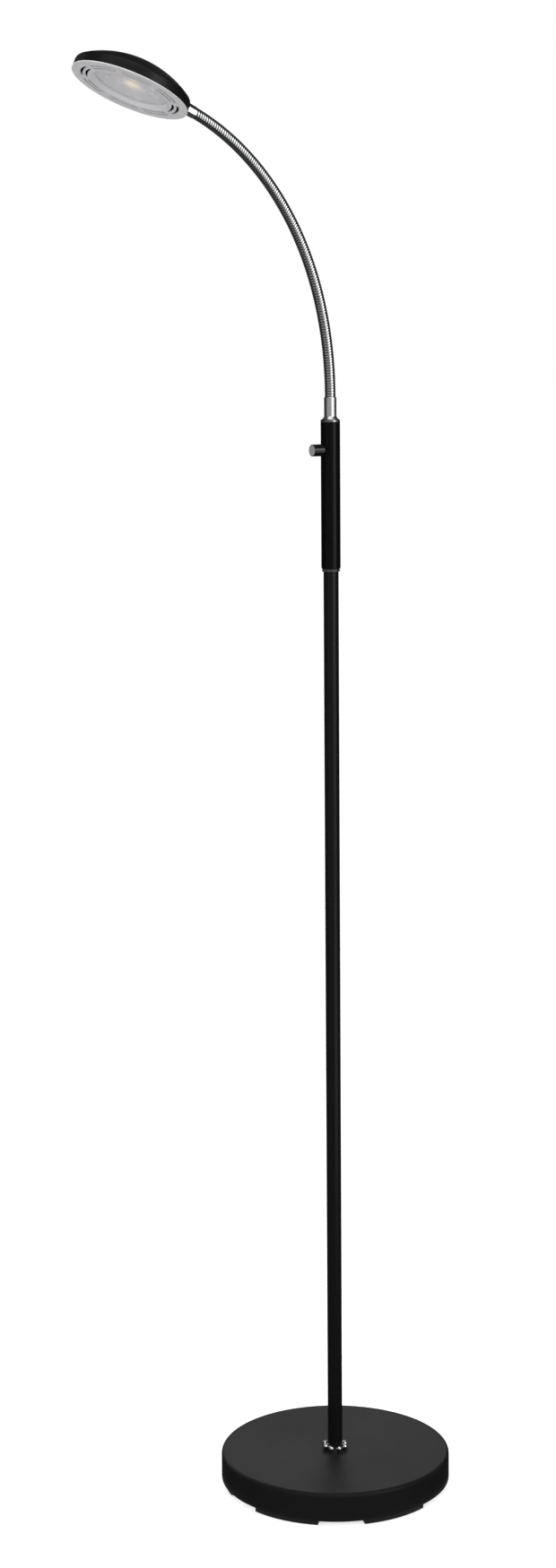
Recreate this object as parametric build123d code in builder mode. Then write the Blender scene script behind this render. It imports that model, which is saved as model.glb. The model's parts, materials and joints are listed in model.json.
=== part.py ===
from build123d import *
import os
from math import asin, cos, degrees, radians, sin, sqrt, tan

# Reading floor lamp: weighted round base, slim pole, switch sleeve, gooseneck and flat round head.
# Millimetres, +Z up. The origin is on the floor under the pole, and the head reaches towards -X.

# Clearances, per side
press_gap = 0.02  # pieces driven or screwed together
slip_gap = 0.10  # pieces slid together
turn_gap = 0.06  # pieces that turn in each other
free_gap = 0.50  # pieces that never touch

# Base
base_diameter = 220.0
base_height = 26.4  # the cover alone, above its feet
base_wall = 1.5
base_edge = 3.5  # rounding of the cover's top edge
foot_height = 6.0
foot_width = 9.0  # of the six pads, outside the ring
foot_web = 6.0  # ring that joins the pads
foot_inset = 3.0  # from the cover's outside
foot_arc = 36.0  # degrees
foot_count = 6
foot_notch = 12.0  # way out for the cord, at +X
foot_chamfer = 0.8
weight_thickness = 12.0
weight_gap = 1.5  # casting to cover, all round
boss_diameter = 14.0  # bosses under the casting
plate_thickness = 1.5
plate_opening = 40.0  # reaches the stud's nut
plate_screw_reach = 65.0  # from the pole's axis
plate_screw_count = 3
plate_screw_start = 60.0  # degrees, clear of the cord's way out
plate_screw_diameter = 4.0
plate_screw_grip = 7.0  # thread inside a boss
screw_head_height = 2.4
screw_recess = 1.2

# Hollow stud that holds the pole
stud_diameter = 10.0
stud_bore = 7.0
stud_rise = 30.0  # above the base
stud_tail = 2.0  # below its nut
nut_height = 6.0
nut_across = 15.0
washer_thickness = 1.6
washer_diameter = 24.0
bush_flange = 1.5  # cord bush under the stud
bush_depth = 8.0

# Beaded collar at the pole's foot
bead_diameter = 5.5
bead_count = 8
bead_start = 34.5  # degrees
collar_height = 3.6
collar_width = 1.9

# Pole: two tubes end to end
pole_diameter = 14.0
pole_wall = 1.0
pole_section = 425.0
insert_length = 24.0
joiner_length = 70.0
cable_diameter = 5.0
cable_way = 8.0  # bore of the pieces that the cable passes

# Switch sleeve
ring_height = 2.5
ring_diameter = 16.4
sleeve_diameter = 17.8
sleeve_wall = 1.3
sleeve_length = 136.5
sleeve_chamfer = 1.2
spigot_depth = 25.0  # adaptor inside the pole
plug_depth = 9.0  # ends inside the sleeve

# Dimmer
dial_drop = 28.0  # knob axis below the sleeve's top
knob_diameter = 11.0
knob_length = 10.7
knob_gap = 0.4
cap_thickness = 0.6
cap_border = 0.6  # knob rim round the cap
shaft_diameter = 3.2
thread_diameter = 5.0  # dimmer's threaded bush
thread_end = 0.6  # past its nut
dial_nut_across = 7.0
dial_nut_height = 1.6
dimmer_width = 9.4
dimmer_tall = 11.0
dimmer_depth = 6.0
dimmer_front = 1.4  # front face ahead of the pole's axis
board_width = 12.0
board_thickness = 1.2
board_length = 56.0
board_offset = 2.0
coil_diameter = 5.6
coil_length = 8.0
capacitor_diameter = 4.8
capacitor_length = 12.0

# Gooseneck
neck_diameter = 10.0
neck_bore = 5.2
neck_pitch = 18.8  # hinge to hinge
hinge_count = 16
first_turn = 3.0  # degrees at the lowest hinge; each later one turns a little more
link_ribs = 6
rib_depth = 0.5
rib_flank = 0.35
rib_valley = 1.4
ball_diameter = 7.6
seat_depth = 8.0  # neck inside each ferrule
seat_diameter = 8.4
wire_diameter = 2.4
ferrule_length = 19.8
ferrule_diameter = 11.4
ferrule_shoulder = 2.5
tip_diameter = 10.6
tip_length = 9.5

# Head, measured from its pale face up to its black crown
head_diameter = 106.0
head_tilt = 24.85  # face off the level
head_rim = 0.8  # height of the bezel's edge
rim_step = 0.2  # bezel's edge outside the shell
head_side = 7.0  # face to the top of the upright wall
head_edge = 4.0  # rounding over the wall
crown_slope = 35.1  # degrees at the crown's edge
head_wall = 1.6
collar_out = 2.0  # neck boss outside the wall
neck_boss = 10.8
tip_thread = 6.0
tip_nut_across = 7.6
tip_nut_height = 4.0
nut_room = 1.4  # lens cup to the nut's corner
recess_depth = 4.0
recess_flare = 2.5  # recess wider at its mouth, per side
bezel_plate = 1.6
bezel_wall = 1.2
vent_count = 8  # in each ring
vent_arc = 34.0  # degrees
vent_start = 22.5  # degrees from the neck
vent_width = 2.2
vent_margin = 2.6  # lens cup to the first ring of vents
vent_spacing = 4.5  # ring to ring
lens_thickness = 1.5
lens_width = 69.0
lens_ledge = 1.5  # bezel under the lens, all round
reflector_wall = 0.8
reflector_rise = 3.1
reflector_flange = 3.5
reflector_hole = 14.0
chip_width = 12.0
chip_height = 1.0
led_board_width = 30.0
led_board_thickness = 1.2
sink_width = 56.0
sink_thickness = 2.4
fin_height = 5.5
fin_thickness = 1.4
fin_length = 44.0
fin_pitch = 6.3
fin_count = 4
sink_screw_spacing = 40.0
sink_screw_diameter = 2.5
sink_screw_head = 5.0
sink_screw_head_height = 1.6
sink_boss = 6.0
sink_screw_grip = 5.0

hex_corner = 1 / (2 * cos(radians(30)))  # a hexagon's corner radius for a width of one across its flats
os.makedirs("parts", exist_ok=True)


def write(piece, name):
    piece.part.label = name
    export_step(piece.part, f"parts/{name}.step")


# Base: a stamped cover over a cast weight, closed by a plate on a rubber ring with six pads
base_radius = base_diameter / 2
base_top = foot_height + base_height
ceiling = base_top - base_wall
stud_radius = stud_diameter / 2

with BuildPart() as base_cover:
    with BuildSketch(Plane.XY.offset(foot_height)):
        Circle(base_radius)
    extrude(amount=base_height)
    fillet(base_cover.edges().group_by(Axis.Z)[-1], base_edge)
    offset(amount=-base_wall, openings=base_cover.faces().sort_by(Axis.Z)[0])
    with BuildSketch(Plane.XY.offset(base_top)):
        Circle(stud_radius + slip_gap)
    extrude(amount=-2 * base_wall, mode=Mode.SUBTRACT)
write(base_cover, "base_cover")

weight_bottom = ceiling - weight_thickness
plate_top = foot_height + plate_thickness
plate_screw_radius = plate_screw_diameter / 2

with BuildPart() as base_weight:
    with BuildSketch(Plane.XY.offset(weight_bottom)):
        Circle(base_radius - base_wall - weight_gap)
    extrude(amount=weight_thickness)
    chamfer(base_weight.edges().group_by(Axis.Z)[-1], base_edge)
    with BuildSketch(Plane.XY.offset(weight_bottom)):
        with PolarLocations(plate_screw_reach, plate_screw_count, plate_screw_start):
            Circle(boss_diameter / 2)
    extrude(amount=plate_top - weight_bottom)
    with BuildSketch(Plane.XY.offset(weight_bottom)):
        Circle(stud_radius + slip_gap)
    extrude(amount=weight_thickness, mode=Mode.SUBTRACT)
    with BuildSketch(Plane.XY.offset(plate_top)):
        with PolarLocations(plate_screw_reach, plate_screw_count, plate_screw_start):
            Circle(plate_screw_radius + press_gap)
    extrude(amount=plate_screw_grip + free_gap, mode=Mode.SUBTRACT)
write(base_weight, "base_weight")

with BuildPart() as base_plate:
    with BuildSketch(Plane.XY.offset(foot_height)):
        Circle(base_radius - base_wall - slip_gap)
        Circle(plate_opening / 2, mode=Mode.SUBTRACT)
        with PolarLocations(plate_screw_reach, plate_screw_count, plate_screw_start):
            Circle(plate_screw_radius + slip_gap, mode=Mode.SUBTRACT)
    extrude(amount=plate_thickness)
write(base_plate, "base_plate")

with BuildPart() as plate_screws:
    with BuildSketch(Plane.XY.offset(foot_height)):
        with PolarLocations(plate_screw_reach, plate_screw_count, plate_screw_start):
            Circle(plate_screw_diameter)
    extrude(amount=-screw_head_height)
    fillet(plate_screws.edges().group_by(Axis.Z)[0], screw_head_height / 2)
    with BuildSketch(Plane.XY.offset(foot_height)):
        with PolarLocations(plate_screw_reach, plate_screw_count, plate_screw_start):
            Circle(plate_screw_radius)
    extrude(amount=plate_thickness + plate_screw_grip)
    with BuildSketch(Plane.XY.offset(foot_height - screw_head_height)):
        with PolarLocations(plate_screw_reach, plate_screw_count, plate_screw_start):
            Rectangle(plate_screw_diameter, screw_recess)
            Rectangle(screw_recess, plate_screw_diameter)
    extrude(amount=screw_recess, mode=Mode.SUBTRACT)
write(plate_screws, "plate_screws")

foot_outer = base_radius - foot_inset
foot_inner = foot_outer - foot_width

with BuildSketch() as foot_outline:
    with BuildLine():
        rim = CenterArc((0, 0), foot_outer, -foot_arc / 2, foot_arc)
        back = CenterArc((0, 0), foot_inner - foot_web / 2, -foot_arc / 2, foot_arc)
        Line(rim @ 0, back @ 0)
        Line(rim @ 1, back @ 1)
    make_face()

with BuildPart() as foot_ring:
    with BuildSketch():
        Circle(foot_inner)
        Circle(foot_inner - foot_web, mode=Mode.SUBTRACT)
    extrude(amount=foot_height)
    with BuildSketch():
        with PolarLocations(0, foot_count, start_angle=180 / foot_count):
            add(foot_outline.sketch)
    extrude(amount=foot_height)
    with BuildSketch():
        with Locations((foot_inner, 0)):
            Rectangle(3 * foot_web, foot_notch)
    extrude(amount=foot_height, mode=Mode.SUBTRACT)
    floor_arcs = foot_ring.edges().group_by(Axis.Z)[0].filter_by(GeomType.CIRCLE)
    chamfer(floor_arcs.group_by(SortBy.RADIUS)[-1], foot_chamfer)
write(foot_ring, "foot_ring")

# Hollow stud, clamped through cover and casting
washer_bottom = weight_bottom - washer_thickness
nut_bottom = washer_bottom - nut_height
stud_bottom = nut_bottom - stud_tail
bore_radius = stud_bore / 2
cable_radius = cable_diameter / 2

with BuildPart() as pole_stud:
    with BuildSketch(Plane.XY.offset(stud_bottom)):
        Circle(stud_radius)
        Circle(bore_radius, mode=Mode.SUBTRACT)
    extrude(amount=base_top + stud_rise - stud_bottom)
    ends = pole_stud.edges().filter_by(GeomType.CIRCLE).filter_by(lambda e: e.radius > bore_radius)
    chamfer(ends, (stud_radius - bore_radius) / 2)
write(pole_stud, "pole_stud")

with BuildPart() as stud_washer:
    with BuildSketch(Plane.XY.offset(washer_bottom)):
        Circle(washer_diameter / 2)
        Circle(stud_radius + slip_gap, mode=Mode.SUBTRACT)
    extrude(amount=washer_thickness)
write(stud_washer, "stud_washer")

with BuildPart() as stud_nut:
    with BuildSketch(Plane.XY.offset(nut_bottom)):
        RegularPolygon(nut_across / 2, 6, major_radius=False)
        Circle(stud_radius + press_gap, mode=Mode.SUBTRACT)
    extrude(amount=nut_height)
write(stud_nut, "stud_nut")

bush_bottom = stud_bottom - bush_flange

with BuildPart() as cord_bush:
    with BuildSketch(Plane.XY.offset(bush_bottom)):
        Circle(stud_radius)
    extrude(amount=bush_flange)
    fillet(cord_bush.edges().group_by(Axis.Z)[0], bush_flange / 2)
    with BuildSketch(Plane.XY.offset(stud_bottom)):
        Circle(bore_radius - press_gap)
    extrude(amount=bush_depth)
    with BuildSketch(Plane.XY.offset(bush_bottom)):
        Circle(cable_radius + slip_gap)
    extrude(amount=bush_flange + bush_depth, mode=Mode.SUBTRACT)
write(cord_bush, "cord_bush")

# Collar of round beads at the pole's foot
pole_radius = pole_diameter / 2
pole_inside = pole_radius - pole_wall
bead_radius = bead_diameter / 2
bead_circle = pole_radius + bead_radius + 2 * slip_gap

with BuildPart() as foot_collar:
    with BuildSketch(Plane.XY.offset(base_top)):
        Circle(pole_radius + slip_gap + collar_width)
        Circle(pole_radius + slip_gap, mode=Mode.SUBTRACT)
    extrude(amount=collar_height)
    with Locations((0, 0, base_top + bead_radius + slip_gap)):
        with PolarLocations(bead_circle, bead_count, start_angle=bead_start):
            Sphere(bead_radius)
write(foot_collar, "foot_collar")

# Pole
pole_joint = base_top + pole_section
ring_bottom = pole_joint + pole_section

with BuildPart() as pole_lower:
    with BuildSketch(Plane.XY.offset(base_top)):
        Circle(pole_radius)
        Circle(pole_inside, mode=Mode.SUBTRACT)
    extrude(amount=pole_section)
write(pole_lower, "pole_lower")

with BuildPart() as pole_upper:
    with BuildSketch(Plane.XY.offset(pole_joint)):
        Circle(pole_radius)
        Circle(pole_inside, mode=Mode.SUBTRACT)
    extrude(amount=pole_section)
write(pole_upper, "pole_upper")

with BuildPart() as pole_insert:
    with BuildSketch(Plane.XY.offset(base_top)):
        Circle(pole_inside - press_gap)
        Circle(stud_radius + press_gap, mode=Mode.SUBTRACT)
    extrude(amount=insert_length)
write(pole_insert, "pole_insert")

with BuildPart() as pole_joiner:
    with BuildSketch(Plane.XY.offset(pole_joint - joiner_length / 2)):
        Circle(pole_inside - press_gap)
        Circle(cable_way / 2, mode=Mode.SUBTRACT)
    extrude(amount=joiner_length)
    rims = pole_joiner.edges().filter_by(GeomType.CIRCLE).filter_by(lambda e: e.radius > cable_way / 2)
    chamfer(rims, pole_wall / 2)
write(pole_joiner, "pole_joiner")

# Switch sleeve on its adaptor
ring_top = ring_bottom + ring_height
sleeve_top = ring_top + sleeve_length
sleeve_radius = sleeve_diameter / 2
sleeve_inside = sleeve_radius - sleeve_wall
dial_height = sleeve_top - dial_drop
dial = Plane(origin=(0, 0, dial_height), x_dir=(0, 1, 0), z_dir=(-1, 0, 0))
thread_radius = thread_diameter / 2

with BuildPart() as sleeve_adaptor:
    with BuildSketch(Plane.XY.offset(ring_bottom - spigot_depth)):
        Circle(pole_inside - press_gap)
    extrude(amount=spigot_depth)
    with BuildSketch(Plane.XY.offset(ring_bottom)):
        Circle(ring_diameter / 2)
    extrude(amount=ring_height)
    with BuildSketch(Plane.XY.offset(ring_top)):
        Circle(sleeve_inside - press_gap)
    extrude(amount=plug_depth)
    with BuildSketch(Plane.XY.offset(ring_bottom - spigot_depth)):
        Circle(cable_way / 2)
    extrude(amount=spigot_depth + ring_height + plug_depth, mode=Mode.SUBTRACT)
write(sleeve_adaptor, "sleeve_adaptor")

with BuildPart() as switch_sleeve:
    with BuildSketch(Plane.XY.offset(ring_top)):
        Circle(sleeve_radius)
        Circle(sleeve_inside, mode=Mode.SUBTRACT)
    extrude(amount=sleeve_length)
    rims = switch_sleeve.edges().filter_by(GeomType.CIRCLE).filter_by(lambda e: e.radius > sleeve_inside)
    chamfer(rims, min(sleeve_chamfer, sleeve_wall / 2), sleeve_chamfer)
    with BuildSketch(dial):
        Circle(thread_radius + slip_gap)
    extrude(amount=2 * sleeve_radius, mode=Mode.SUBTRACT)
write(switch_sleeve, "switch_sleeve")

# Dimmer, on an axis that points to -X
shaft_radius = shaft_diameter / 2
knob_radius = knob_diameter / 2
thread_out = sleeve_radius + dial_nut_height + thread_end
knob_root = sleeve_radius + knob_gap
knob_tip = knob_root + knob_length
shaft_in = dimmer_front + slip_gap
shaft_out = knob_tip - cap_thickness - free_gap

with BuildPart() as dimmer_body:
    with BuildSketch(dial.offset(dimmer_front)):
        RectangleRounded(dimmer_width, dimmer_tall, free_gap)
    extrude(amount=-dimmer_depth)
write(dimmer_body, "dimmer_body")

with BuildPart() as dimmer_thread:
    with BuildSketch(dial.offset(dimmer_front)):
        Circle(thread_radius)
        Circle(shaft_radius + turn_gap, mode=Mode.SUBTRACT)
    extrude(amount=thread_out - dimmer_front)
write(dimmer_thread, "dimmer_thread")

with BuildPart() as dimmer_nut:
    with BuildSketch(dial.offset(sleeve_radius)):
        RegularPolygon(dial_nut_across / 2, 6, major_radius=False)
        Circle(thread_radius + press_gap, mode=Mode.SUBTRACT)
    extrude(amount=dial_nut_height)
write(dimmer_nut, "dimmer_nut")

with BuildPart() as dimmer_shaft:
    with BuildSketch(dial.offset(shaft_in)):
        Circle(shaft_radius)
    extrude(amount=shaft_out - shaft_in)
write(dimmer_shaft, "dimmer_shaft")

nut_corner = dial_nut_across * hex_corner
cap_radius = knob_radius - cap_border

with BuildPart() as dimmer_knob:
    with BuildSketch(dial.offset(knob_root)):
        Circle(knob_radius)
    extrude(amount=knob_length)
    fillet(dimmer_knob.edges().sort_by(Axis.X)[0], cap_border / 2)
    with BuildSketch(dial.offset(knob_root)):
        Circle(nut_corner + turn_gap)
    extrude(amount=thread_out + free_gap - knob_root, mode=Mode.SUBTRACT)
    with BuildSketch(dial.offset(knob_root)):
        Circle(shaft_radius + press_gap)
    extrude(amount=shaft_out - knob_root, mode=Mode.SUBTRACT)
    with BuildSketch(dial.offset(knob_tip)):
        Circle(cap_radius)
    extrude(amount=-cap_thickness, mode=Mode.SUBTRACT)
write(dimmer_knob, "dimmer_knob")

with BuildPart() as knob_cap:
    with BuildSketch(dial.offset(knob_tip)):
        Circle(cap_radius - press_gap)
    extrude(amount=-cap_thickness)
write(knob_cap, "knob_cap")

# Dimmer's circuit board and its two tall parts
board_top = dial_height - dimmer_tall / 2 - 2 * free_gap
board_bottom = board_top - board_length
board_face = board_offset - board_thickness / 2

with BuildPart() as dimmer_board:
    with BuildSketch(Plane.XY.offset(board_bottom)):
        with Locations((board_offset, 0)):
            Rectangle(board_thickness, board_width)
    extrude(amount=board_length)
write(dimmer_board, "dimmer_board")

with BuildPart() as driver_coil:
    with BuildSketch(Plane.XY.offset(board_bottom + capacitor_length)):
        with Locations((board_face - coil_diameter / 2, 0)):
            Circle(coil_diameter / 2)
    extrude(amount=coil_length)
write(driver_coil, "driver_coil")

with BuildPart() as driver_capacitor:
    with BuildSketch(Plane.XY.offset(board_top - 2 * capacitor_length)):
        with Locations((board_face - capacitor_diameter / 2, 0)):
            Circle(capacitor_diameter / 2)
    extrude(amount=capacitor_length)
    fillet(driver_capacitor.edges().group_by(Axis.Z)[-1], free_gap)
write(driver_capacitor, "driver_capacitor")

with BuildPart() as pole_lead:
    with BuildSketch(Plane.XY.offset(bush_bottom)):
        Circle(cable_radius)
    extrude(amount=board_bottom - free_gap - bush_bottom)
write(pole_lead, "pole_lead")

# Gooseneck: a chain of ribbed links on ball seats, which turns a little more at each hinge
neck_radius = neck_diameter / 2
root_radius = neck_radius - rib_depth
bore = neck_bore / 2
seat_radius = seat_diameter / 2
ball_radius = ball_diameter / 2
rib_pitch = neck_pitch / link_ribs
neck_start = sleeve_top + ferrule_length
hinge_steps = hinge_count * (hinge_count - 1) / 2
turn_step = (90 - head_tilt - hinge_count * first_turn) / hinge_steps
turns = [first_turn + turn_step * i for i in range(hinge_count)]


def ribbed(count):
    """Ruled loft through four circles for each rib."""
    with BuildPart() as run:
        for i in range(count):
            low = i * rib_pitch + rib_valley / 2
            high = (i + 1) * rib_pitch - rib_valley / 2
            with BuildSketch(Plane.XY.offset(low)):
                Circle(root_radius)
            with BuildSketch(Plane.XY.offset(low + rib_flank)):
                Circle(neck_radius)
            with BuildSketch(Plane.XY.offset(high - rib_flank)):
                Circle(neck_radius)
            with BuildSketch(Plane.XY.offset(high)):
                Circle(root_radius)
        loft(ruled=True)
    return run.part


with BuildPart() as link:
    add(ribbed(link_ribs))
    Sphere(ball_radius)
    with Locations((0, 0, neck_pitch)):
        Sphere(ball_radius + turn_gap, mode=Mode.SUBTRACT)
    with BuildSketch(Plane.XY.offset(-ball_radius)):
        Circle(bore)
    extrude(amount=ball_radius + neck_pitch, mode=Mode.SUBTRACT)

with BuildPart() as root_link:
    add(ribbed(link_ribs // 2))
    with BuildSketch(Plane.XY.offset(-seat_depth)):
        Circle(seat_radius)
    extrude(amount=seat_depth + rib_valley)
    with Locations((0, 0, neck_pitch / 2)):
        Sphere(ball_radius + turn_gap, mode=Mode.SUBTRACT)
    with BuildSketch(Plane.XY.offset(-seat_depth)):
        Circle(bore)
    extrude(amount=seat_depth + neck_pitch / 2, mode=Mode.SUBTRACT)

with BuildPart() as tip_link:
    add(ribbed(link_ribs // 2))
    Sphere(ball_radius)
    with BuildSketch(Plane.XY.offset(neck_pitch / 2 - rib_valley)):
        Circle(seat_radius)
    extrude(amount=rib_valley + seat_depth)
    with BuildSketch(Plane.XY.offset(-ball_radius)):
        Circle(bore)
    extrude(amount=ball_radius + neck_pitch / 2 + seat_depth, mode=Mode.SUBTRACT)


def along(angle):
    """Direction of the neck after it has leant by an angle from upright towards the head."""
    return Vector(-sin(radians(angle)), 0, cos(radians(angle)))


def neck_plane(origin, angle):
    return Plane(origin=origin, x_dir=(0, 1, 0), z_dir=along(angle))


lean = 0.0
hinge = Vector(0, 0, neck_start) + along(lean) * (neck_pitch / 2)
hinge_planes = []
for turn in turns:
    lean += turn
    hinge_planes.append(neck_plane(hinge, lean))
    hinge = hinge + along(lean) * neck_pitch
neck_end = hinge - along(lean) * (neck_pitch / 2)

with BuildPart() as neck_root:
    with Locations(neck_plane((0, 0, neck_start), 0)):
        add(root_link.part)
write(neck_root, "neck_root")

for number, plane in enumerate(hinge_planes[:-1], start=1):
    with BuildPart() as neck_link:
        with Locations(plane):
            add(link.part)
    write(neck_link, f"neck_link_{number:02d}")

with BuildPart() as neck_tip:
    with Locations(hinge_planes[-1]):
        add(tip_link.part)
write(neck_tip, "neck_tip")

ferrule_radius = ferrule_diameter / 2

with BuildPart() as neck_ferrule:
    with BuildSketch(Plane.XZ):
        with BuildLine():
            Polyline(
                (cable_way / 2 - free_gap, sleeve_top - plug_depth),
                (sleeve_inside - press_gap, sleeve_top - plug_depth),
                (sleeve_inside - press_gap, sleeve_top),
                (ferrule_radius, sleeve_top + ferrule_shoulder),
                (ferrule_radius, neck_start),
                (seat_radius + press_gap, neck_start),
                (seat_radius + press_gap, neck_start - seat_depth),
                (cable_way / 2 - free_gap, neck_start - seat_depth),
                close=True,
            )
        make_face()
    revolve(axis=Axis.Z)
    chamfer(neck_ferrule.edges().group_by(Axis.Z)[-1].sort_by(SortBy.RADIUS)[-1], free_gap)
write(neck_ferrule, "neck_ferrule")

# Head: heights of its layers above the pale face
lens_top = recess_depth + lens_thickness
cup_top = lens_top + reflector_wall
led_bottom = cup_top + reflector_rise
led_top = led_bottom + led_board_thickness
sink_top = led_top + sink_thickness
neck_height = cup_top + nut_room + tip_nut_across * hex_corner

# Head's own frame: local x points to the neck, local z out of the crown
to_neck = along(lean) * -1
crown_way = Vector(sin(radians(head_tilt)), 0, cos(radians(head_tilt)))
head_radius = head_diameter / 2
shell_radius = head_radius - rim_step
boss_face = head_radius + collar_out
neck_mouth = boss_face + tip_length
head_centre = neck_end - to_neck * neck_mouth - crown_way * neck_height
face = Plane(origin=head_centre, x_dir=to_neck, z_dir=crown_way)
section = Plane(origin=head_centre, x_dir=to_neck, z_dir=(0, -1, 0))
spin = Axis(head_centre, crown_way)
neck_axis = Plane(origin=head_centre + crown_way * neck_height, x_dir=(0, 1, 0), z_dir=to_neck)

tip_thread_radius = tip_thread / 2
neck_boss_radius = neck_boss / 2
lens_radius = lens_width / 2
window = lens_radius - lens_ledge
cup_inside = lens_radius + slip_gap
cup_outside = cup_inside + bezel_wall
vent_inner = cup_outside + vent_margin + vent_width / 2
vent_outer = vent_inner + vent_spacing
reflector_mouth = lens_radius - reflector_flange
boss_in = cup_outside + free_gap
nut_in = boss_in - tip_nut_height
wire_radius = wire_diameter / 2


def dome(inset, bottom):
    """Half section of the head: upright wall, rounded edge and domed crown."""
    radius = head_edge - inset
    wall = Line((shell_radius - inset, bottom), (shell_radius - inset, head_side))
    edge = JernArc(wall @ 1, (0, 1), radius, 90 - crown_slope)
    crown = JernArc(edge @ 1, edge % 1, (edge @ 1).X / sin(radians(crown_slope)), crown_slope)
    Polyline(crown @ 1, (0, bottom), wall @ 0)


with BuildPart() as head_room:
    with BuildSketch(section):
        with BuildLine():
            dome(head_wall, 0)
        make_face()
    revolve(axis=spin)
    with BuildSketch(face.offset(sink_top)):
        with GridLocations(0, sink_screw_spacing, 1, 2):
            Circle(sink_boss / 2)
    extrude(amount=head_radius, mode=Mode.SUBTRACT)
    with BuildSketch(neck_axis.offset(boss_in)):
        Circle(neck_boss_radius)
    extrude(amount=head_radius, mode=Mode.SUBTRACT)

with BuildPart() as head_shell:
    with BuildSketch(section):
        with BuildLine():
            dome(0, head_rim)
        make_face()
    revolve(axis=spin)
    with BuildSketch(neck_axis.offset(boss_in)):
        Circle(neck_boss_radius)
    extrude(amount=boss_face - boss_in)
    add(head_room.part, mode=Mode.SUBTRACT)
    with BuildSketch(neck_axis.offset(boss_in)):
        Circle(tip_thread_radius + press_gap)
    extrude(amount=boss_face - boss_in, mode=Mode.SUBTRACT)
    with BuildSketch(face.offset(sink_top)):
        with GridLocations(0, sink_screw_spacing, 1, 2):
            Circle(sink_screw_diameter / 2 + press_gap)
    extrude(amount=sink_screw_grip, mode=Mode.SUBTRACT)
write(head_shell, "head_shell")

# Silver bezel: a plate with two rings of vents, a flared recess and a cup for the lens
lip_outside = shell_radius - head_wall - slip_gap
lip_top = neck_height - neck_boss_radius - free_gap
vent_lines = [CenterArc((0, 0), ring, -vent_arc / 2, vent_arc) for ring in (vent_inner, vent_outer)]

with BuildPart() as head_bezel:
    with BuildSketch(section):
        with BuildLine():
            Polyline(
                (window + recess_flare, 0),
                (head_radius, 0),
                (head_radius, head_rim),
                (lip_outside, head_rim),
                (lip_outside, lip_top),
                (lip_outside - bezel_wall, lip_top),
                (lip_outside - bezel_wall, bezel_plate),
                (cup_outside, bezel_plate),
                (cup_outside, cup_top),
                (cup_inside, cup_top),
                (cup_inside, recess_depth),
                (window, recess_depth),
                (window, recess_depth - bezel_wall),
                close=True,
            )
        make_face()
    revolve(axis=spin)
    with BuildSketch(face):
        with PolarLocations(0, vent_count, start_angle=vent_start):
            for line in vent_lines:
                SlotArc(line, vent_width)
    extrude(amount=bezel_plate, mode=Mode.SUBTRACT)
    outer_rim = head_bezel.edges().filter_by(GeomType.CIRCLE).sort_by(SortBy.RADIUS)[-2:]
    fillet(outer_rim.sort_by(Axis(head_centre, crown_way))[0], head_rim / 3)
write(head_bezel, "head_bezel")

with BuildPart() as head_lens:
    with BuildSketch(face.offset(recess_depth)):
        Circle(lens_radius)
    extrude(amount=lens_thickness)
write(head_lens, "head_lens")

with BuildPart() as reflector:
    with BuildSketch(section):
        with BuildLine():
            Polyline(
                (lens_radius, lens_top),
                (lens_radius, cup_top),
                (reflector_mouth, cup_top),
                (reflector_hole / 2, led_bottom),
                (reflector_hole / 2, led_bottom - reflector_wall),
                (reflector_mouth, lens_top),
                close=True,
            )
        make_face()
    revolve(axis=spin)
write(reflector, "reflector")

# Light source on its cooling plate
with BuildPart() as led_chip:
    with BuildSketch(face.offset(led_bottom)):
        Circle(chip_width / 2)
    extrude(amount=-chip_height)
    fillet(led_chip.edges().sort_by(Axis(head_centre, crown_way))[0], chip_height / 3)
write(led_chip, "led_chip")

with BuildPart() as led_board:
    with BuildSketch(face.offset(led_bottom)):
        Circle(led_board_width / 2)
    extrude(amount=led_board_thickness)
write(led_board, "led_board")

wire_end = led_board_width / 2 - wire_diameter
notch_length = sink_width / 2

with BuildPart() as heat_sink:
    with BuildSketch(face.offset(led_top)):
        Circle(sink_width / 2)
        with GridLocations(0, sink_screw_spacing, 1, 2):
            Circle(sink_screw_diameter / 2 + slip_gap, mode=Mode.SUBTRACT)
    extrude(amount=sink_thickness)
    with BuildSketch(face.offset(sink_top)):
        with GridLocations(0, fin_pitch, 1, fin_count):
            Rectangle(fin_length, fin_thickness)
    extrude(amount=fin_height)
    with BuildSketch(face.offset(led_top)):
        with Locations((wire_end - wire_diameter + notch_length / 2, 0)):
            Rectangle(notch_length, wire_diameter + 2 * free_gap)
    extrude(amount=sink_thickness, mode=Mode.SUBTRACT)
write(heat_sink, "heat_sink")

with BuildPart() as sink_screws:
    with BuildSketch(face.offset(led_top)):
        with GridLocations(0, sink_screw_spacing, 1, 2):
            Circle(sink_screw_head / 2)
    extrude(amount=-sink_screw_head_height)
    with BuildSketch(face.offset(led_top)):
        with GridLocations(0, sink_screw_spacing, 1, 2):
            Circle(sink_screw_diameter / 2)
    extrude(amount=sink_thickness + sink_screw_grip - free_gap)
write(sink_screws, "sink_screws")

# Neck's upper ferrule, screwed through the head's wall
with BuildPart() as tip_ferrule:
    with BuildSketch(neck_axis.offset(boss_face)):
        Circle(tip_diameter / 2)
    extrude(amount=tip_length)
    with BuildSketch(neck_axis.offset(nut_in - free_gap)):
        Circle(tip_thread_radius)
    extrude(amount=boss_face - nut_in + free_gap)
    with BuildSketch(neck_axis.offset(neck_mouth - seat_depth)):
        Circle(seat_radius + press_gap)
    extrude(amount=seat_depth, mode=Mode.SUBTRACT)
    with BuildSketch(neck_axis.offset(nut_in - free_gap)):
        Circle(wire_radius + free_gap)
    extrude(amount=neck_mouth - nut_in, mode=Mode.SUBTRACT)
write(tip_ferrule, "tip_ferrule")

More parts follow.
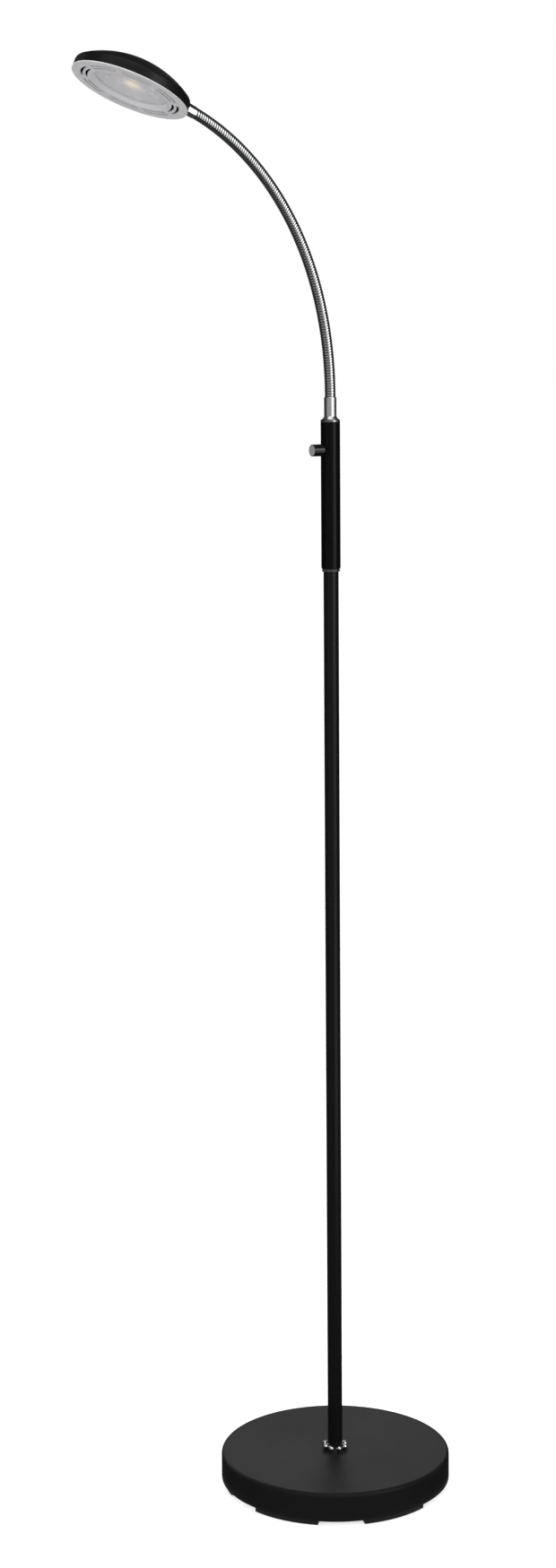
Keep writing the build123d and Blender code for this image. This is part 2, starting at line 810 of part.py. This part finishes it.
with BuildPart() as tip_nut:
    with BuildSketch(neck_axis.offset(nut_in)):
        RegularPolygon(tip_nut_across / 2, 6, major_radius=False)
        Circle(tip_thread_radius + press_gap, mode=Mode.SUBTRACT)
    extrude(amount=tip_nut_height)
write(tip_nut, "tip_nut")

# Lead from the dimmer's board past the dimmer, up the neck and into the head
dimmer_back = dimmer_depth - dimmer_front
wire_side = dimmer_back + wire_radius + 2 * slip_gap
bend_low = dial_height + dimmer_tall / 2
bend_high = sleeve_top - plug_depth
bend_turn = 2 * degrees(asin(wire_side / sqrt(wire_side**2 + (bend_high - bend_low)**2)))
bend_radius = (bend_high - bend_low) / (2 * sin(radians(bend_turn)))

with BuildPart() as neck_lead:
    with BuildLine(Plane.XZ) as wire_route:
        rise = Line((wire_side, board_top - wire_side), (wire_side, bend_low))
        inward = JernArc(rise @ 1, (0, 1), bend_radius, bend_turn)
        upright = JernArc(inward @ 1, inward % 1, bend_radius, -bend_turn)
        run = Line((0, bend_high), (0, neck_start))
        for turn in turns:
            reach = neck_pitch / 2 / tan(radians(turn / 2))
            run = JernArc(run @ 1, run % 1, reach, turn)
        Line(run @ 1, run @ 1 + (run % 1) * (neck_mouth - wire_end))
    with BuildSketch(Plane.XY.offset(board_top - wire_side)):
        with Locations((wire_side, 0)):
            Circle(wire_radius)
    sweep(path=wire_route.line)
write(neck_lead, "neck_lead")
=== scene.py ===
import json
from math import cos, pi, radians, sin, tan

import bmesh
import bpy
from mathutils import Matrix, Vector

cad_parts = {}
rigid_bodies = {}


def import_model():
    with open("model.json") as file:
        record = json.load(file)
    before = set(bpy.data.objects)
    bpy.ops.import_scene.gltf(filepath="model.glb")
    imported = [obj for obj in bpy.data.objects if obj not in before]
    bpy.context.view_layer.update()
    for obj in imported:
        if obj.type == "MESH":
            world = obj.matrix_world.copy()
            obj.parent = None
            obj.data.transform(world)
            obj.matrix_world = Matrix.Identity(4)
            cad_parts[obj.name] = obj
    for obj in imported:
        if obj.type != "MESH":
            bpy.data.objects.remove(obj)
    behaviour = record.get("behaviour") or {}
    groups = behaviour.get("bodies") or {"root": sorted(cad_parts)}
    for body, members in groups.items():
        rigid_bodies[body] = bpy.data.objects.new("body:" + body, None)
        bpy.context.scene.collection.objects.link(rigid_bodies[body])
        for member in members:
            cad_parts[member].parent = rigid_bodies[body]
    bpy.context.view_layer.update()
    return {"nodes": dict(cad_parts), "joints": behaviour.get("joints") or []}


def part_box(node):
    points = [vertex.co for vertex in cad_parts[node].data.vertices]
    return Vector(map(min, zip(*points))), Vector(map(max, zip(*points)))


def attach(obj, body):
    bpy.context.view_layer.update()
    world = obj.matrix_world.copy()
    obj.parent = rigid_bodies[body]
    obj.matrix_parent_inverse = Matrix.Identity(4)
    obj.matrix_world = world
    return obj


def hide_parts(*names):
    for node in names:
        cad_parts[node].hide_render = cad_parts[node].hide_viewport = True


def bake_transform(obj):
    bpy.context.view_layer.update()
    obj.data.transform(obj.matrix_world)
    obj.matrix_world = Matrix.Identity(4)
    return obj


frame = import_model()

nodes = frame["nodes"]

# a Mix node's sockets, for values and for colours
factor, valueA, valueB, valueOut = 0, 2, 3, 0
colourA, colourB, colourOut = 6, 7, 2


def grey(level):
    return (level, level, level, 1)


def greys(dark, light):
    return grey(dark), grey(light)


# node helpers
def setInputs(node, values):
    for title, value in values.items():
        node.inputs[title.replace("_", " ")].default_value = value


def place(tree, kind, **settings):
    node = tree.nodes.new(kind)
    for name, value in settings.items():
        if hasattr(node, name):
            setattr(node, name, value)
        else:
            setInputs(node, {name: value})
    return node


def link(tree, *pairs):
    for start, end in pairs:
        tree.links.new(start, end)


def newGroup(name, inputs, outputs):
    group = bpy.data.node_groups.new(name, "ShaderNodeTree")
    for title, (kind, value) in inputs.items():
        socket = group.interface.new_socket(name=title, in_out="INPUT", socket_type=kind)
        socket.default_value = value
    for title, kind in outputs.items():
        group.interface.new_socket(name=title, in_out="OUTPUT", socket_type=kind)
    return group, group.nodes.new("NodeGroupInput").outputs, group.nodes.new("NodeGroupOutput").inputs


number, colour, vector = "NodeSocketFloat", "NodeSocketColor", "NodeSocketVector"
surface = {"Color": colour, "Roughness": number, "Height": number}
noiseSpan = {"From_Min": 0.3, "From_Max": 0.7}  # most of a noise lies between these

# paint, rubber and mouldings: two sizes of grain, in patches a little glossier than others
grain, fromUser, toUser = newGroup(
    "sprayedGrain",
    {
        "Place": (vector, (0, 0, 0)),
        "Fine": (number, 2200),
        "Coarse": (number, 700),
        "Mix": (number, 0.4),
        "Patches": (number, 60),
        "Dark": (colour, grey(0.01)),
        "Light": (colour, grey(0.02)),
        "Smooth": (number, 0.3),
        "Rough": (number, 0.4),
    },
    surface,
)
fine = place(grain, "ShaderNodeTexNoise", Detail=2.0)
coarse = place(grain, "ShaderNodeTexNoise", Detail=3.0)
patches = place(grain, "ShaderNodeTexNoise", Detail=3.0)
relief = place(grain, "ShaderNodeMix")
tint = place(grain, "ShaderNodeMix", data_type="RGBA")
gloss = place(grain, "ShaderNodeMapRange", **noiseSpan)
for noise, title in ((fine, "Fine"), (coarse, "Coarse"), (patches, "Patches")):
    link(
        grain,
        (fromUser["Place"], noise.inputs["Vector"]),
        (fromUser[title], noise.inputs["Scale"]),
    )
link(
    grain,
    (fromUser["Mix"], relief.inputs[factor]),
    (fine.outputs[0], relief.inputs[valueA]),
    (coarse.outputs[0], relief.inputs[valueB]),
    (relief.outputs[valueOut], tint.inputs[factor]),
    (fromUser["Dark"], tint.inputs[colourA]),
    (fromUser["Light"], tint.inputs[colourB]),
    (patches.outputs[0], gloss.inputs["Value"]),
    (fromUser["Smooth"], gloss.inputs["To Min"]),
    (fromUser["Rough"], gloss.inputs["To Max"]),
    (tint.outputs[colourOut], toUser["Color"]),
    (gloss.outputs[0], toUser["Roughness"]),
    (relief.outputs[valueOut], toUser["Height"]),
)

# bare metal: drawn or turned lines, and faint clouding from handling
drawn, fromUser, toUser = newGroup(
    "drawnMetal",
    {
        "Place": (vector, (0, 0, 0)),
        "Stretch": (vector, (1, 1, 1)),
        "Lines": (number, 900),
        "Clouds": (number, 60),
        "Dark": (colour, grey(0.6)),
        "Light": (colour, grey(0.8)),
        "Smooth": (number, 0.08),
        "Rough": (number, 0.2),
    },
    surface,
)
pull = place(drawn, "ShaderNodeVectorMath", operation="MULTIPLY")
lines = place(drawn, "ShaderNodeTexNoise", Detail=4.0)
clouds = place(drawn, "ShaderNodeTexNoise", Detail=3.0)
tint = place(drawn, "ShaderNodeMix", data_type="RGBA")
gloss = place(drawn, "ShaderNodeMapRange", **noiseSpan)
link(
    drawn,
    (fromUser["Place"], pull.inputs[0]),
    (fromUser["Stretch"], pull.inputs[1]),
    (pull.outputs[0], lines.inputs["Vector"]),
    (fromUser["Lines"], lines.inputs["Scale"]),
    (fromUser["Place"], clouds.inputs["Vector"]),
    (fromUser["Clouds"], clouds.inputs["Scale"]),
    (clouds.outputs[0], tint.inputs[factor]),
    (fromUser["Dark"], tint.inputs[colourA]),
    (fromUser["Light"], tint.inputs[colourB]),
    (lines.outputs[0], gloss.inputs["Value"]),
    (fromUser["Smooth"], gloss.inputs["To Min"]),
    (fromUser["Rough"], gloss.inputs["To Max"]),
    (tint.outputs[colourOut], toUser["Color"]),
    (gloss.outputs[0], toUser["Roughness"]),
    (lines.outputs[0], toUser["Height"]),
)


def newMaterial(name):
    mat = bpy.data.materials.new(name)
    mat.use_nodes = True
    return mat, mat.node_tree, mat.node_tree.nodes["Principled BSDF"]


def useGroup(tree, group, values):
    where = tree.nodes.new("ShaderNodeTexCoord")
    effect = place(tree, "ShaderNodeGroup", node_tree=group)
    setInputs(effect, values)
    link(tree, (where.outputs["Object"], effect.inputs["Place"]))
    return effect


def newFinish(name, group, bump, depth, values, shaderValues):
    mat, tree, shader = newMaterial(name)
    effect = useGroup(tree, group, values)
    relief = place(tree, "ShaderNodeBump", Strength=bump, Distance=depth)
    link(
        tree,
        (effect.outputs["Color"], shader.inputs["Base Color"]),
        (effect.outputs["Roughness"], shader.inputs["Roughness"]),
        (effect.outputs["Height"], relief.inputs["Height"]),
        (relief.outputs["Normal"], shader.inputs["Normal"]),
    )
    setInputs(shader, shaderValues)
    return mat


# pairs: tones are dark and light, rough is smoothest and roughest, grains are fine and coarse, to the metre
def sprayed(name, tones, rough, grains, mix=0.5, patches=60, bump=0.15, depth=0.00006, **shaderValues):
    values = {
        "Dark": tones[0], "Light": tones[1], "Smooth": rough[0], "Rough": rough[1],
        "Fine": grains[0], "Coarse": grains[1], "Mix": mix, "Patches": patches,
    }
    return newFinish(name, grain, bump, depth, values, shaderValues)


def metal(name, tones, rough, lines, clouds, stretch=(1, 1, 1), bump=0.15, depth=0.00003):
    values = {
        "Dark": tones[0], "Light": tones[1], "Smooth": rough[0], "Rough": rough[1],
        "Stretch": stretch, "Lines": lines, "Clouds": clouds,
    }
    return newFinish(name, drawn, bump, depth, values, {"Metallic": 1.0})


# paints
coat = sprayed(
    "texturedBlackCoat", tones=greys(0.005, 0.011), rough=(0.46, 0.50), grains=(2400, 900),
    mix=0.45, patches=14, bump=0.5, depth=0.00010, Specular_IOR_Level=0.09,
)
satin = sprayed(
    "satinBlackPaint", tones=greys(0.004, 0.007), rough=(0.26, 0.32), grains=(1500, 420),
    mix=0.7, bump=0.02, depth=0.00003, Specular_IOR_Level=0.15,
)
sleevePaint = sprayed(
    "sleeveBlackPaint", tones=greys(0.0015, 0.003), rough=(0.24, 0.30), grains=(1500, 420),
    mix=0.7, bump=0.02, depth=0.00003, Specular_IOR_Level=0.10,
)
shellPaint = sprayed(
    "headBlackPaint", tones=greys(0.004, 0.007), rough=(0.34, 0.40), grains=(1700, 500),
    mix=0.6, bump=0.10, depth=0.00004, Specular_IOR_Level=0.14,
)
silver = sprayed(
    "silverMoulding", tones=((0.58, 0.58, 0.595, 1), (0.67, 0.67, 0.685, 1)), rough=(0.42, 0.50),
    grains=(2600, 800), mix=0.3, depth=0.00004, Specular_IOR_Level=0.3,
)
bandGrey = sprayed(
    "greyBand", tones=greys(0.030, 0.042), rough=(0.30, 0.38), grains=(1500, 400),
    bump=0.10, Specular_IOR_Level=0.25,
)
capSilver = sprayed(
    "silverCap", tones=greys(0.22, 0.28), rough=(0.30, 0.40), grains=(2600, 800), mix=0.3, bump=0.10,
)
reflectorWhite = sprayed(
    "reflectorWhite", tones=((0.78, 0.78, 0.77, 1), (0.84, 0.84, 0.83, 1)), rough=(0.40, 0.50),
    grains=(1500, 400), bump=0.05,
)

# mouldings and soft parts
knobBlack = sprayed(
    "knobGlossBlack", tones=greys(0.003, 0.006), rough=(0.12, 0.18), grains=(900, 300),
    bump=0.04, depth=0.00003, Specular_IOR_Level=0.5,
)
rubber = sprayed(
    "padRubber", tones=greys(0.006, 0.014), rough=(0.70, 0.85), grains=(1800, 600),
    bump=0.35, depth=0.00010, Specular_IOR_Level=0.2,
)
blackPlastic = sprayed(
    "blackMoulding", tones=greys(0.010, 0.018), rough=(0.42, 0.55), grains=(1600, 500), bump=0.25,
)
cable = sprayed("cableSheath", tones=greys(0.014, 0.022), rough=(0.45, 0.58), grains=(1400, 300))
castIron = sprayed(
    "castIron", tones=greys(0.030, 0.075), rough=(0.65, 0.85), grains=(900, 260),
    mix=0.6, bump=0.7, depth=0.00030,
)
boardGreen = sprayed(
    "boardMask", tones=((0.012, 0.07, 0.03, 1), (0.02, 0.11, 0.05, 1)), rough=(0.25, 0.40),
    grains=(900, 250),
)
boardWhite = sprayed("whiteBoardMask", tones=greys(0.70, 0.80), rough=(0.35, 0.45), grains=(900, 250))

# bare metals
chrome = metal(
    "polishedChrome", tones=((0.70, 0.71, 0.73, 1), (0.80, 0.81, 0.82, 1)), rough=(0.05, 0.11),
    lines=1400, clouds=70, stretch=(1, 1, 0.2), bump=0.04,
)
satinChrome = metal(
    "satinChrome", tones=((0.74, 0.75, 0.77, 1), (0.82, 0.83, 0.84, 1)), rough=(0.22, 0.30),
    lines=1400, clouds=70, stretch=(1, 1, 0.2), bump=0.04,
)
steel = metal("zincSteel", tones=greys(0.42, 0.58), rough=(0.25, 0.42), lines=700, clouds=90)
brass = metal(
    "turnedBrass", tones=((0.62, 0.45, 0.20, 1), (0.72, 0.55, 0.27, 1)), rough=(0.18, 0.32),
    lines=1500, clouds=80, stretch=(0.1, 0.1, 1), bump=0.35,
)
aluminium = metal(
    "extrudedAluminium", tones=((0.60, 0.61, 0.62, 1), (0.72, 0.72, 0.73, 1)), rough=(0.28, 0.45),
    lines=900, clouds=70, stretch=(0.1, 1, 1),
)

# light: an opal lens over a cream chip
opal = sprayed(
    "opalLens", tones=((0.87, 0.86, 0.89, 1), (0.91, 0.90, 0.93, 1)), rough=(0.38, 0.46),
    grains=(1800, 500), bump=0.02, depth=0.00002, Transmission_Weight=0.50, IOR=1.46,
)
phosphor = sprayed(
    "chipPhosphor", tones=((0.80, 0.62, 0.26, 1), (0.88, 0.72, 0.36, 1)), rough=(0.45, 0.60),
    grains=(2600, 900), Emission_Color=(1.0, 0.83, 0.48, 1), Emission_Strength=4.5,
)

# the sleeve's top edge is turned bare
lip = {"height": 0.0022, "fade": 0.0004, "tone": grey(0.27)}
tree = sleevePaint.node_tree
shader = tree.nodes["Principled BSDF"]
painted = shader.inputs["Base Color"].links[0].from_socket
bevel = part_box("switch_sleeve")[1].z - lip["height"]
split = tree.nodes.new("ShaderNodeSeparateXYZ")
edge = place(tree, "ShaderNodeMapRange", From_Min=bevel - lip["fade"], From_Max=bevel)
bare = place(tree, "ShaderNodeMix", data_type="RGBA")
bare.inputs[colourB].default_value = lip["tone"]
link(
    tree,
    (tree.nodes["Texture Coordinate"].outputs["Object"], split.inputs[0]),
    (split.outputs["Z"], edge.inputs["Value"]),
    (edge.outputs[0], bare.inputs[factor]),
    (edge.outputs[0], shader.inputs["Metallic"]),
    (painted, bare.inputs[colourA]),
    (bare.outputs[colourOut], shader.inputs["Base Color"]),
)

finishes = {
    coat: ["base_cover"],
    castIron: ["base_weight"],
    rubber: ["foot_ring"],
    steel: ["base_plate", "plate_screws", "stud_washer", "pole_insert", "pole_joiner", "sink_screws"],
    brass: ["pole_stud", "stud_nut", "dimmer_thread", "dimmer_nut", "tip_nut"],
    chrome: ["foot_collar", "tip_ferrule"],
    satinChrome: ["neck_ferrule"],
    satin: ["pole_lower", "pole_upper"],
    sleevePaint: ["switch_sleeve"],
    cable: ["pole_lead"],
    blackPlastic: ["cord_bush", "dimmer_body", "driver_coil"],
    bandGrey: ["sleeve_adaptor"],
    aluminium: ["dimmer_shaft", "driver_capacitor", "heat_sink"],
    knobBlack: ["dimmer_knob"],
    capSilver: ["knob_cap"],
    boardGreen: ["dimmer_board"],
    boardWhite: ["led_board"],
    shellPaint: ["head_shell"],
    silver: ["head_bezel"],
    opal: ["head_lens"],
    reflectorWhite: ["reflector"],
    phosphor: ["led_chip"],
}
for finish, names in finishes.items():
    for name in names:
        nodes[name].data.materials.clear()
        nodes[name].data.materials.append(finish)
print("finishes:", len(finishes), "on", sum(map(len, finishes.values())), "solids")

# gooseneck: a wound skin over the links, one length for each joint
neck = {
    "outer": 0.0050,  # over the winding's crown
    "groove": 0.0047,
    "bore": 0.0026,
    "coils": 8,  # turns of wire in each length
    "steps": 32,  # round each turn
    "crown": 8,  # spans over the wire
    "fullness": 0.7,  # below 1 the wire's crown is broader
    "boreSides": 24,
    "boreSpans": 6,
    "lead": 0.0012,
    "leadSides": 12,
}
hinges = {joint["parent"]: joint for joint in frame["joints"] if joint["name"].startswith("neck_")}
chain, body = [], "stand"
while body in hinges:
    chain.append(hinges[body])
    body = hinges[body]["child"]
pivots = [Vector(joint["pos_m"]) for joint in chain]
mouth = Vector((0, 0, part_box("neck_ferrule")[1].z))
joins = [mouth] + [(low + high) / 2 for low, high in zip(pivots, pivots[1:])]
# the last turn mirrors the way in about the way that is square to both of its joints' axes
wayIn = (pivots[-1] - joins[-1]).normalized()
halfWay = Vector(chain[-2]["axis"]).cross(Vector(chain[-1]["axis"])).normalized()
wayOut = 2 * wayIn.dot(halfWay) * halfWay - wayIn
joins.append(pivots[-1] + wayOut * (pivots[-1] - joins[-1]).length)

# chrome with painted shade: its colour darkens down in the grooves between the turns
wound = {
    "metal": {
        "Lines": 1400,
        "Clouds": 90,
        "Dark": (0.52, 0.53, 0.545, 1),
        "Light": (0.62, 0.63, 0.64, 1),
        "Smooth": 0.07,
        "Rough": 0.15,
    },
    "grooveShade": (0.10, 0.10, 0.105, 1),
}
woundChrome, tree, shader = newMaterial("woundChrome")
setInputs(shader, {"Metallic": 1.0})
effect = useGroup(tree, drawn, wound["metal"])
# painted shade: the base colour is mixed towards dark grey the deeper the surface lies in a groove
groove = place(tree, "ShaderNodeAttribute", attribute_name="grooveDepth")
shadedGrooves = place(tree, "ShaderNodeMix", data_type="RGBA")
shadedGrooves.inputs[colourB].default_value = wound["grooveShade"]
link(
    tree,
    (groove.outputs["Fac"], shadedGrooves.inputs[factor]),
    (effect.outputs["Color"], shadedGrooves.inputs[colourA]),
    (shadedGrooves.outputs[colourOut], shader.inputs["Base Color"]),
    (effect.outputs["Roughness"], shader.inputs["Roughness"]),
)

weld = 0.00001  # points closer than this become one
onCut = 0.000001  # points closer than this to a cut lie on it


def weldPoints(bm):
    bmesh.ops.remove_doubles(bm, verts=bm.verts, dist=weld)


def cutAway(bm, spot, way):
    whole = bm.verts[:] + bm.edges[:] + bm.faces[:]
    bmesh.ops.bisect_plane(bm, geom=whole, plane_co=spot, plane_no=way, clear_outer=True, dist=onCut)


def windLength(length):
    # one straight length, standing on z = 0: the wound wire, its bore and the lead inside
    bm = bmesh.new()
    pitch = length / neck["coils"]
    rise = neck["outer"] - neck["groove"]
    wire = []
    for i in range(neck["crown"] + 1):
        share = i / neck["crown"]
        reach = neck["groove"] + rise * sin(pi * share) ** neck["fullness"]
        wire.append(bm.verts.new((reach, 0, pitch * (share - 1))))
    profile = [bm.edges.new(pair) for pair in zip(wire, wire[1:])]
    turns = neck["coils"] + 1
    bmesh.ops.spin(
        bm, geom=wire + profile, cent=(0, 0, 0), axis=(0, 0, 1), angle=2 * pi * turns,
        steps=neck["steps"] * turns, dvec=(0, 0, pitch / neck["steps"]), use_merge=False,
    )
    weldPoints(bm)
    cutAway(bm, (0, 0, 0), (0, 0, -1))
    cutAway(bm, (0, 0, length), (0, 0, 1))
    weldPoints(bm)
    rims = [e for e in bm.edges if e.is_boundary]

    # the bore, drawn up from a circle and joined to the wire at both ends
    circle = bmesh.ops.create_circle(bm, segments=neck["boreSides"], radius=neck["bore"])["verts"]
    ring = list({e for v in circle for e in v.link_edges})
    rims += ring
    span = length / neck["boreSpans"]
    for i in range(neck["boreSpans"]):
        grown = bmesh.ops.extrude_edge_only(bm, edges=ring)["geom"]
        grown = [g for g in grown if isinstance(g, bmesh.types.BMEdge)]
        ring = [e for e in grown if e.is_boundary and e not in rims]
        bmesh.ops.translate(bm, verts=list({v for e in ring for v in e.verts}), vec=(0, 0, span))
    rims += ring
    low = [e for e in rims if sum(v.co.z for v in e.verts) < length]
    bmesh.ops.bridge_loops(bm, edges=low)
    bmesh.ops.bridge_loops(bm, edges=[e for e in rims if e not in low])
    bmesh.ops.recalc_face_normals(bm, faces=bm.faces)

    # the lead, in as many spans as the bore
    core = bmesh.ops.create_cone(
        bm, segments=neck["leadSides"], radius1=neck["lead"], radius2=neck["lead"], depth=length,
        cap_ends=True, matrix=Matrix.Translation((0, 0, length / 2)),
    )["verts"]
    for face in {f for v in core for f in v.link_faces}:
        face.material_index = 1
    sides = {e for v in core for e in v.link_edges}
    walls = [e for e in sides if abs(e.verts[0].co.z - e.verts[1].co.z) > length / 2]
    bmesh.ops.subdivide_edges(bm, edges=walls, cuts=neck["boreSpans"] - 1)
    return bm


def newPiece(name, bm, *materials):
    mesh = bpy.data.meshes.new(name)
    bm.to_mesh(mesh)
    bm.free()
    for material in materials:
        mesh.materials.append(material)
    for face in mesh.polygons:
        face.use_smooth = True
    piece = bpy.data.objects.new(name, mesh)
    bpy.context.scene.collection.objects.link(piece)
    return piece


for index, joint in enumerate(chain):
    # each length is wound straight, then bent to an arc from one join to the next
    first, pivot, last = joins[index], pivots[index], joins[index + 1]
    into, out = (pivot - first).normalized(), (last - pivot).normalized()
    turn = into.angle(out)
    axis = into.cross(out).normalized()
    inward = axis.cross(into)
    radius = (pivot - first).length / tan(turn / 2)
    length = radius * turn
    bm = windLength(length)
    layer = bm.verts.layers.float.new("grooveDepth")
    for v in bm.verts:
        below = (neck["outer"] - v.co.xy.length) / (neck["outer"] - neck["groove"])
        v[layer] = min(1, max(0, below)) ** 2
        spot = inward * (v.co.x - radius) + axis * v.co.y
        v.co = first + inward * radius + Matrix.Rotation(turn * v.co.z / length, 3, axis) @ spot
    winding = newPiece(f"neckWinding{index + 1:02d}", bm, woundChrome, cable)
    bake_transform(winding)
    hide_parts(f"neck_link_{index:02d}" if index else "neck_root")
    if index == len(chain) - 1:
        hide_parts("neck_tip")
print("gooseneck:", len(chain), "lengths,", len(chain) * neck["coils"], "turns of wire")

# lead below and above the gooseneck, cut from the whole lead at the neck's two ends
leadEnds = {
    "leadInSleeve": ("stand", joins[0], Vector((0, 0, 1))),
    "leadInHead": (chain[-1]["child"], joins[-1], -wayOut),
}
for name, (body, cut, away) in leadEnds.items():
    bm = bmesh.new()
    bm.from_mesh(nodes["neck_lead"].data)
    weldPoints(bm)
    cutAway(bm, cut, away)
    bmesh.ops.holes_fill(bm, edges=[e for e in bm.edges if e.is_boundary])
    end = newPiece(name, bm, cable)
    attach(end, body)
    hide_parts("neck_lead")
print("lead:", len(leadEnds), "ends")

# camera, as the photograph was taken
shot = {
    "azimuth": -33.07,  # degrees, from the front
    "distance": 2.550,
    "height": 1.10265,
    "pitch": 9.3117,
    "yaw": 1.130,
    "roll": -0.4533,
    "lens": 63.693,
    "sensor": 36.0,
}
side = radians(shot["azimuth"])
heading = side + radians(shot["yaw"])
dip = radians(shot["pitch"])
lean = radians(shot["roll"])
ahead = Vector((-sin(heading) * cos(dip), cos(heading) * cos(dip), -sin(dip)))
level = Vector((cos(heading), sin(heading), 0))
upright = level.cross(ahead)
across = level * cos(lean) + upright * sin(lean)
above = upright * cos(lean) - level * sin(lean)
tripod = Vector((sin(side) * shot["distance"], -cos(side) * shot["distance"], shot["height"]))
camera = bpy.data.objects.new("camera", bpy.data.cameras.new("camera"))
camera.data.lens = shot["lens"]
camera.data.sensor_width = shot["sensor"]
camera.matrix_world = Matrix.Translation(tripod) @ Matrix((across, above, -ahead)).transposed().to_4x4()
bpy.context.scene.collection.objects.link(camera)
bpy.context.scene.camera = camera
bpy.context.scene.view_settings.view_transform = "Standard"
print("camera at", [round(c, 3) for c in tripod])

# studio: white paper floor and white surround
studio = {
    "floor": 40.0,  # half width
    "paper": 0.78,
    "paperLift": 0.62,  # makes the paper white to the camera and in reflections
    "matt": 0.9,  # roughness of paper and cards
    "surround": 0.55,  # as a light
}


def backgroundRays(tree):
    # 1 for what the camera, a reflection or glass sees
    path = tree.nodes.new("ShaderNodeLightPath")
    total = path.outputs["Is Camera Ray"]
    for title in ("Is Glossy Ray", "Is Transmission Ray"):
        either = place(tree, "ShaderNodeMath", operation="MAXIMUM")
        link(tree, (total, either.inputs[0]), (path.outputs[title], either.inputs[1]))
        total = either.outputs[0]
    return total


def stageMaterial(name, tone, glow):
    mat, tree, shader = newMaterial(name)
    setInputs(shader, {
        "Base Color": grey(tone),
        "Roughness": studio["matt"],
        "Specular IOR Level": 0.0,
        "Emission Color": grey(1.0),
        "Emission Strength": glow,
    })
    return mat, tree, shader


def angleFromCamera(turn):
    # degrees round the lamp from the camera's side of it, as an angle about Z
    return radians(shot["azimuth"] - 90 + turn)


paper, tree, shader = stageMaterial("paper", studio["paper"], 0.0)
lift = place(tree, "ShaderNodeMath", operation="MULTIPLY")
lift.inputs[1].default_value = studio["paperLift"]
link(
    tree,
    (backgroundRays(tree), lift.inputs[0]),
    (lift.outputs[0], shader.inputs["Emission Strength"]),
)
bm = bmesh.new()
bmesh.ops.create_grid(bm, x_segments=1, y_segments=1, size=studio["floor"])
newPiece("floor", bm, paper)

world = bpy.data.worlds.new("studio")
bpy.context.scene.world = world
world.use_nodes = True
tree = world.node_tree
tone = place(tree, "ShaderNodeMix", data_type="RGBA")
tone.inputs[colourA].default_value = grey(studio["surround"])
tone.inputs[colourB].default_value = grey(1.0)
link(
    tree,
    (backgroundRays(tree), tone.inputs[factor]),
    (tone.outputs[colourOut], tree.nodes["Background"].inputs["Color"]),
)

# cards round the set that only reflections see: dark ones give chrome and paint their dark sides,
# and bright ones the streaks and the sheen on the base
beside = 0.113  # reach just clear of the base
low, lying = 0.003, 0.004  # heights just over the floor
near, far = 3.0, 6.0  # reach of the cards in front and behind
eaves, sill, head, top = 3.2, 1.95, 3.6, 6.4  # heights of the front cards, then of the window behind
wall = ((beside, low), (near, low), (near, eaves))
roof = ((near, eaves), (1.0, 4.4))
flags = {
    "step": 6.0,  # degrees
    "profiles": {  # reach from the pole and height, from point to point
        "whole": wall + roof[1:],
        "wall": wall,
        "roof": roof,
        "behind": ((beside, low), (far, low), (far, sill)),
        "window": ((far, sill), (far, head)),
        "over": ((far, head), (far, top), (1.0, 8.0)),
        "awning": ((2.0, 1.4), (2.0, 2.2)),
        "lintel": ((2.9, 1.4), (2.9, 2.6)),
        "floor": ((beside, lying), (2.4, lying)),
        "apron": ((beside, lying), (1.0, lying)),
    },
    "cards": {  # from and to in degrees from the camera's side of the lamp, profile and tone
        "flagLeft": (-114, -66, "whole", 0.035),
        "flagFront": (-66, 24, "wall", 0.34),
        "cardFront": (-66, 24, "roof", 1.3),
        "cardKnob": (60, 72, "lintel", 3.0),
        "flagRight": (70, 122, "whole", 0.05),
        "flagBack": (122, 246, "behind", 0.06),
        "cardBack": (158, 230, "window", 2.8),
        "flagBackRight": (122, 158, "window", 0.06),
        "flagBackLeft": (230, 246, "window", 0.06),
        "flagOver": (122, 246, "over", 0.03),
        "flagHead": (134, 242, "awning", 0.03),
        "flagFloor": (-114, 24, "floor", 0.06),
        "flagApron": (24, 70, "apron", 0.03),
    },
}
for name, (start, end, shape, tone) in flags["cards"].items():
    bm = bmesh.new()
    turned = Matrix.Rotation(angleFromCamera(start), 3, "Z")
    profile = flags["profiles"][shape]
    posts = [bm.verts.new(turned @ Vector((reach, 0, height))) for reach, height in profile]
    edges = [bm.edges.new(pair) for pair in zip(posts, posts[1:])]
    bmesh.ops.spin(
        bm, geom=posts + edges, cent=(0, 0, 0), axis=(0, 0, 1), angle=radians(end - start),
        steps=round((end - start) / flags["step"]), use_merge=False,
    )
    card = newPiece(name, bm, stageMaterial(name, 0.0, tone)[0])
    card.visible_camera = False
    card.visible_diffuse = False
    card.visible_transmission = False
    card.visible_volume_scatter = False
    card.visible_shadow = False

# soft boxes: turned in degrees from the camera's side, aimed at a height on the pole, and shown in
# reflections or not
softBoxes = {
    "strip": dict(turn=50, reach=2.4, height=1.45, aim=1.35, size=(0.70, 1.9), power=16, shown=True),
    "overhead": dict(turn=0, reach=0.7, height=2.9, aim=0.4, size=(1.8, 1.8), power=34, shown=False),
    "fill": dict(turn=-35, reach=2.9, height=1.6, aim=0.8, size=(1.2, 1.8), power=24, shown=False),
}
for name, box in softBoxes.items():
    lamp = bpy.data.lights.new(name, "AREA")
    lamp.shape = "RECTANGLE"
    lamp.size, lamp.size_y = box["size"]
    lamp.energy = box["power"]
    light = bpy.data.objects.new(name, lamp)
    angle = angleFromCamera(box["turn"])
    light.location = (cos(angle) * box["reach"], sin(angle) * box["reach"], box["height"])
    aim = Vector((0, 0, box["aim"])) - light.location
    light.rotation_euler = aim.to_track_quat("-Z", "Y").to_euler()
    light.visible_glossy = box["shown"]
    bpy.context.scene.collection.objects.link(light)
print("studio:", len(softBoxes), "soft boxes,", len(flags["cards"]), "flags")
